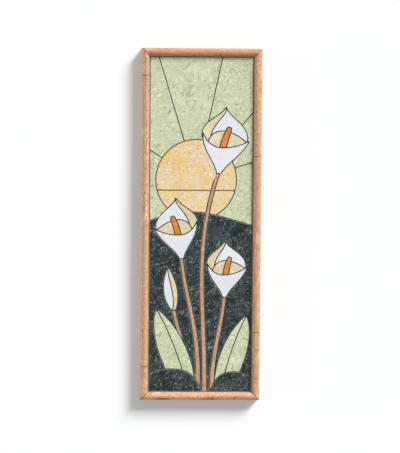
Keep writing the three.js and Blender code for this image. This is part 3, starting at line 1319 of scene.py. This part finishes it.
@dataclass
class Moulding:
    """The half-round moulding, mitred at the corners, in the lengths of the frame.

    Attributes:
        dressing: What finishes the pieces.
        step: About how far apart the points of the surface lie.
        round_steps: Facets round the half round.
        glue_line: The gap between the board and the moulding.
        cut: How near the plane of a cut a point counts as on it.
        eased: The width of the eased edge at each end.
        eased_steps: Facets across it.
        sharpest_bend: An edge that turns more than this looks sharp.
        worn_to: A surface that faces the wall more than this isn't worn.
        pit: How deep the open pits are.
        pit_size: The spacing of the pits.
        pit_level: The noise above which a pit begins.
        pit_slope: How much more noise makes it as deep as it gets.
        pit_shift: How far the pits are shifted from one length to another.
        wave: The height of the unevenness of the surface.
        wave_size: The size of that unevenness.
        wave_shift: How far it is shifted from one length to another.
    """

    dressing: Dressing
    step: float = 0.0015
    round_steps: int = 22
    glue_line: float = 0.0003
    cut: float = 1e-6
    eased: float = 0.0007
    eased_steps: int = 2
    sharpest_bend: float = math.radians(40)
    worn_to: float = 0.3
    pit: float = 0.0006
    pit_size: float = 0.005
    pit_level: float = 0.42
    pit_slope: float = 0.3
    pit_shift: tuple[float, float, float] = (7, 0, 11)
    wave: float = 0.00025
    wave_size: float = 0.02
    wave_shift: tuple[float, float, float] = (9, 5, 3)

    def build(self) -> None:
        """Makes every length."""
        for node, slot in SLOT_OF.items():
            if slot is Slot.MOULDING:
                side = Side[node.split("_")[1].upper()]
                bm = self.length(node, side)
                marks = SCARS.get(node, ())
                self.wear(bm, marks)
                self.keep_inside(bm, node)
                piece = to_object(bm, f"{node}_moulding")
                upright = side in (Side.LEFT, Side.RIGHT)
                turn = 0.0 if upright else math.pi / 2
                ends = Vector((0, 0, 1)) if upright else Vector((1, 0, 0))
                lay = self.dressing.lay(turn, tint=SIDE_TINTS_AND_SHADE[side], ends=ends, marks=marks)
                self.dressing.place(piece, slot, lay, node)

    def section(self, bm: bmesh.types.BMesh, inner: float, depth: float, board: tuple[float, float]) -> None:
        """The moulding's section on the plane x = 0, its outer edge on z = 0, as one face.

        Args:
            bm: The mesh that it is added to.
            inner: The z of its inner edge.
            depth: How far it stands off the wall.
            board: How far in and how far off the wall the board's corner lies.
        """
        radius = inner / 2
        shoulder = -(depth - radius)
        start = bm.verts.new((0, shoulder, 0))
        bmesh.ops.spin(
            bm,
            geom=[start],
            cent=(0, shoulder, radius),
            axis=(1, 0, 0),
            angle=-math.pi,
            steps=self.round_steps,
        )
        bm.verts.ensure_lookup_table()
        ring = bm.verts[:]
        rebate_in, rebate_up = board
        corners = [(-rebate_up, inner), (-rebate_up, rebate_in), (0, rebate_in), (0, 0)]
        ring += [bm.verts.new((0, y, z)) for y, z in corners]
        bm.faces.new(ring)
        for edge in bm.edges[:]:
            parts = round(edge.calc_length() / self.step)
            if parts > 1:
                bmesh.ops.subdivide_edges(bm, edges=[edge], cuts=parts - 1)

    def length(self, node: str, side: Side) -> bmesh.types.BMesh:
        """One length of moulding, plain.

        Args:
            node: The CAD node.
            side: The side of the panel that it lies on.

        Returns:
            The length in its place.
        """
        low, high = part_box(node)
        turn = Matrix.Rotation(side.value, 4, "Y")
        back = turn.inverted()
        ends = sorted(((back @ low), (back @ high)), key=lambda corner: corner.x)
        outer = min(corner.z for corner in ends)
        inner = max(corner.z for corner in ends)
        board_low, board_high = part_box("backing_board")
        board_edge = min((back @ board_low).z, (back @ board_high).z) - self.glue_line
        board_face = -board_low.y + self.glue_line
        bm = bmesh.new()
        self.section(bm, inner - outer, -low.y, (board_edge - outer, board_face))
        bmesh.ops.translate(bm, verts=bm.verts[:], vec=(ends[0].x, 0, outer))
        made = bmesh.ops.extrude_face_region(bm, geom=bm.faces[:], use_keep_orig=True)
        far = [item for item in made["geom"] if isinstance(item, bmesh.types.BMVert)]
        bmesh.ops.translate(bm, verts=far, vec=(ends[1].x - ends[0].x, 0, 0))
        bmesh.ops.recalc_face_normals(bm, faces=bm.faces[:])
        self.divide(bm, ends[1].x - ends[0].x)
        panel = back @ CAD_BOX[1] - back @ CAD_BOX[0]
        reach = abs(panel.x) / 2
        for end, outwards in ((ends[0], -1), (ends[1], 1)):
            if abs(abs(end.x) - reach) < inner - outer:
                self.mitre(bm, end.x, outer, outwards)
        self.ease_ends(bm)
        bmesh.ops.transform(bm, verts=bm.verts[:], matrix=turn)
        return bm

    def divide(self, bm: bmesh.types.BMesh, length: float) -> None:
        """Adds points along a length and up its sides."""
        lengthways = [edge for edge in bm.edges if abs(edge.verts[0].co.x - edge.verts[1].co.x) > length / 2]
        bmesh.ops.subdivide_edges(bm, edges=lengthways, cuts=round(length / self.step), use_grid_fill=True)

    def mitre(self, bm: bmesh.types.BMesh, end: float, outer: float, outwards: int) -> None:
        """Cuts an end at 45 degrees and closes it.

        Args:
            bm: The mesh, which is changed.
            end: The x of the end at the outer edge.
            outer: The z of the outer edge.
            outwards: 1 at the end with the higher x, and -1 at the other.
        """
        geometry = bm.verts[:] + bm.edges[:] + bm.faces[:]
        bmesh.ops.bisect_plane(
            bm,
            geom=geometry,
            dist=self.cut,
            plane_co=(end, 0, outer),
            plane_no=(outwards, 0, 1),
            clear_outer=True,
        )
        rim = [vert for vert in bm.verts if vert.is_boundary]
        bmesh.ops.remove_doubles(bm, verts=rim, dist=self.step / 3)
        rim = [vert for vert in bm.verts if vert.is_boundary]
        close = bmesh.ops.find_doubles(bm, verts=bm.verts[:], keep_verts=rim, dist=self.step / 2)
        bmesh.ops.weld_verts(bm, targetmap=close["targetmap"])
        bmesh.ops.holes_fill(bm, edges=[edge for edge in bm.edges if edge.is_boundary], sides=0)

    def ease_ends(self, bm: bmesh.types.BMesh) -> None:
        """Takes the sharp edge off both ends.

        Args:
            bm: The mesh, which is changed.
        """
        bmesh.ops.recalc_face_normals(bm, faces=bm.faces[:])
        ends = [face for face in bm.faces if len(face.verts) > self.round_steps]
        rim = list({edge for face in ends for edge in face.edges})
        round_edges(bm, rim, self.eased, self.eased_steps, clamp=True)

    def keep_inside(self, bm: bmesh.types.BMesh, node: str) -> None:
        """Draws in whatever the eased tips of a mitre push past the CAD length.

        Args:
            bm: The mesh, which is changed.
            node: The CAD node.
        """
        low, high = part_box(node)
        for vert in bm.verts:
            vert.co = Vector(min(max(vert.co[axis], low[axis]), high[axis]) for axis in range(3))

    def wear(self, bm: bmesh.types.BMesh, marks: tuple[Mark, ...]) -> None:
        """Gives a length its unevenness, open pits and chips, all cut inwards.

        Args:
            bm: The mesh, which is changed.
            marks: Its chips and other marks.
        """
        bmesh.ops.recalc_face_normals(bm, faces=bm.faces[:])
        bm.normal_update()
        away = self.dressing.draws.uniform(-1, 1)
        moves = []
        for vert in bm.verts:
            outwards = vert.normal
            if outwards.y > self.worn_to:
                continue
            place = vert.co / self.wave_size + Vector(away * shift for shift in self.wave_shift)
            wave = (noise.noise(place) + 1) / 2 * self.wave
            spot = noise.noise(vert.co / self.pit_size + Vector(away * shift for shift in self.pit_shift))
            pit = max(0.0, spot - self.pit_level) * self.pit / self.pit_slope
            chip = sum(mark.hollow(vert.co) for mark in marks)
            moves.append((vert, -outwards * (wave + pit + chip)))
        for vert, move in moves:
            vert.co += move
        smooth_over(bm, self.sharpest_bend)


@dataclass
class Board:
    """The plywood board let into the back."""

    dressing: Dressing
    node: str = "backing_board"
    arris: float = 0.0006
    arris_steps: int = 2

    def build(self) -> None:
        """Makes the board."""
        bm = block(*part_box(self.node))
        round_edges(bm, bm.edges[:], self.arris, self.arris_steps, clamp=False)
        self.dressing.place(to_object(bm, "plywood_board"), Slot.BOARD, Lay(), self.node)


# The studio


@dataclass(frozen=True)
class Light:
    """A lamp far away: its name, its strength, the direction it shines from and its width as an angle."""

    name: str
    strength: float
    place: Vector
    width: float

    def build(self) -> None:
        """Makes the lamp."""
        sun = bpy.data.lights.new(self.name, "SUN")
        sun.energy = self.strength
        sun.angle = self.width
        lamp = bpy.data.objects.new(self.name, sun)
        lamp.rotation_euler = self.place.to_track_quat("Z", "Y").to_euler()
        bpy.context.scene.collection.objects.link(lamp)


@dataclass
class Studio:
    """A plain white wall and pale floor, soft light and the camera.

    Attributes:
        wall_gap: How far the wall lies behind the panel's back.
        room: The width of the room.
        floor: The height of the floor.
        wall_colour: The wall's colour.
        floor_colour: The floor's colour.
        room_colour: How bright the rest of the room looks.
        ambient: The strength of the light from all round.
        ambient_colour: Its colour.
        lights: The main light, one low from the left, and one for what a wall throws back.
        camera_place: Where the camera stands.
        camera_aim: What it points at.
        camera_roll: How far it is turned about its view.
        lens: Its focal length in millimetres.
        sensor: The width of its sensor in millimetres.
        sight: How far it sees.
    """

    wall_gap: float = 0.0006
    room: float = 30.0
    floor: float = -0.75
    wall_colour: Colour = (0.985, 0.98, 0.98, 1.0)
    floor_colour: Colour = (0.8, 0.79, 0.77, 1.0)
    room_colour: Colour = (0.93, 0.93, 0.93, 1.0)
    ambient: float = 0.43
    ambient_colour: Colour = (0.975, 1.0, 1.02, 1.0)
    lights: tuple[Light, ...] = (
        Light("main_light", 4.12, Vector((0.584, -0.436, 0.685)), math.radians(22)),
        Light("side_light", 0.95, Vector((-0.999, -0.04, 0.0)), math.radians(25)),
        Light("back_light", 1.0, Vector((-0.5, 0.75, -0.4)), math.radians(100)),
    )
    camera_place: Vector = field(default_factory=lambda: Vector((-0.1408, -4.1673, 0.2103)))
    camera_aim: Vector = field(default_factory=lambda: Vector((-0.0024, -0.0215, -0.0036)))
    camera_roll: float = math.radians(0.444)
    lens: float = 127.15
    sensor: float = 36.0
    sight: float = 100.0

    def build(self) -> None:
        """Makes the studio."""
        self.wall()
        self.around()
        self.world()
        for light in self.lights:
            light.build()
        self.camera()

    def show(self, bm: bmesh.types.BMesh, shader: Shader) -> None:
        """Adds something that only the camera sees and that isn't part of the object.

        Args:
            bm: Its mesh.
            shader: Its material, whose name it takes.
        """
        made = to_object(bm, shader.material.name)
        made.data.materials.append(shader.material)
        made.visible_shadow = False
        made.visible_diffuse = False
        made.visible_glossy = False
        made.visible_transmission = False

    def wall(self) -> None:
        """The wall, seen only from its front."""
        shader = Shader("wall")
        paint = shader.node("ShaderNodeBsdfDiffuse", {}, {"Color": self.wall_colour})
        clear = shader.node("ShaderNodeBsdfTransparent")
        behind = shader.node("ShaderNodeNewGeometry", output="Backfacing")
        shader.end(shader.node("ShaderNodeMixShader", {}, {0: behind, 1: paint, 2: clear}))
        bm = bmesh.new()
        turn = Matrix.Rotation(math.pi / 2, 4, "X")
        bmesh.ops.create_grid(bm, x_segments=1, y_segments=1, size=self.room / 2, matrix=turn)
        bmesh.ops.translate(bm, verts=bm.verts[:], vec=(0, self.wall_gap, 0))
        self.show(bm, shader)

    def around(self) -> None:
        """The floor and the pale room round it."""
        shader = Shader("floor")
        shader.end(shader.node("ShaderNodeBsdfDiffuse", {}, {"Color": self.floor_colour}))
        bm = bmesh.new()
        bmesh.ops.create_circle(bm, cap_ends=True, segments=64, radius=self.room / 2)
        bmesh.ops.translate(bm, verts=bm.verts[:], vec=(0, 0, self.floor))
        self.show(bm, shader)
        shader = Shader("room")
        shader.end(shader.node("ShaderNodeEmission", {}, {"Color": self.room_colour}))
        bm = bmesh.new()
        bmesh.ops.create_icosphere(bm, subdivisions=4, radius=self.room / 2)
        self.show(bm, shader)

    def world(self) -> None:
        """The light from all round."""
        world = bpy.data.worlds.new("studio")
        bpy.context.scene.world = world
        world.use_nodes = True
        background = world.node_tree.nodes["Background"]
        background.inputs["Color"].default_value = self.ambient_colour
        background.inputs["Strength"].default_value = self.ambient

    def camera(self) -> None:
        """The camera at the photograph's angle."""
        view = bpy.data.cameras.new("camera")
        view.sensor_width = self.sensor
        view.lens = self.lens
        view.clip_end = self.sight
        back = (self.camera_place - self.camera_aim).normalized()
        level = Vector((0, 0, 1)).cross(back).normalized()
        above = back.cross(level)
        cos, sin = math.cos(self.camera_roll), math.sin(self.camera_roll)
        right = level * cos + above * sin
        up = above * cos - level * sin
        made = bpy.data.objects.new("camera", view)
        turned = Matrix((right, up, back)).transposed().to_4x4()
        made.matrix_world = Matrix.Translation(self.camera_place) @ turned
        bpy.context.scene.collection.objects.link(made)
        bpy.context.scene.camera = made
        bpy.context.scene.view_settings.view_transform = "Standard"


def main() -> None:
    """Builds the studio and the panel."""
    logging.basicConfig(level=logging.INFO, format="%(name)s: %(message)s")
    Studio().build()
    dressing = Dressing()
    Board(dressing).build()
    picture = Picture(dressing)
    stones = picture.build()
    Bed(dressing).build(picture, stones)
    Moulding(dressing).build()


if __name__ == "__main__":
    main()
